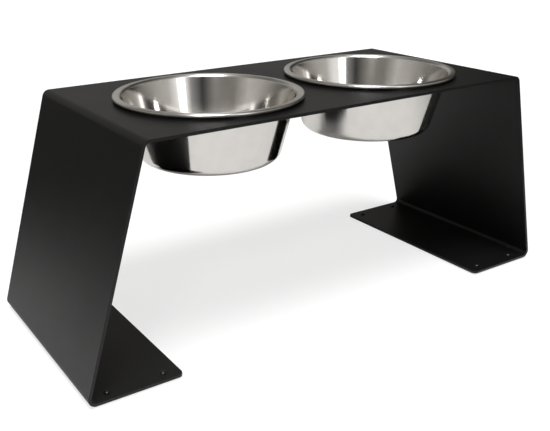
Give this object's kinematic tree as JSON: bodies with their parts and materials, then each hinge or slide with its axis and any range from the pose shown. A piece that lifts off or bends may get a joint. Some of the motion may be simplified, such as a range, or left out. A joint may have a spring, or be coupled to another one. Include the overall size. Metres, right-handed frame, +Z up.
{
  "type": "double pet bowl stand",
  "caption": "Raised feeder: one folded black steel sheet with leaning legs and inward feet, carrying lift-out round steel bowls in plate holes.",
  "frame": {"origin": "on the floor, under the middle of the stand", "axes": "+X along the stand from the left bowl to the right bowl, -Y towards the front, +Z up"},
  "size_m": [0.6262, 0.244, 0.2537],
  "materials": {
    "black_coating": "satin black powder coat on steel sheet",
    "bowl_steel": "polished stainless steel with a satin rim",
    "foot_rubber": "matt black rubber"
  },
  "bodies": {
    "stand": {"stand_sheet": "black_coating", "rubber_foot_left_front_outer": "foot_rubber", "rubber_foot_left_front_inner": "foot_rubber", "rubber_foot_left_back_outer": "foot_rubber", "rubber_foot_left_back_inner": "foot_rubber", "rubber_foot_right_front_outer": "foot_rubber", "rubber_foot_right_front_inner": "foot_rubber", "rubber_foot_right_back_outer": "foot_rubber", "rubber_foot_right_back_inner": "foot_rubber"},
    "left_bowl": {"left_bowl": "bowl_steel"},
    "right_bowl": {"right_bowl": "bowl_steel"}
  },
  "joints": [
    {"name": "left_bowl_lift", "type": "slide", "parent": "stand", "child": "left_bowl", "axis": [0, 0, 1], "range_m": [0, 0.1]},
    {"name": "right_bowl_lift", "type": "slide", "parent": "stand", "child": "right_bowl", "axis": [0, 0, 1], "range_m": [0, 0.1]}
  ]
}
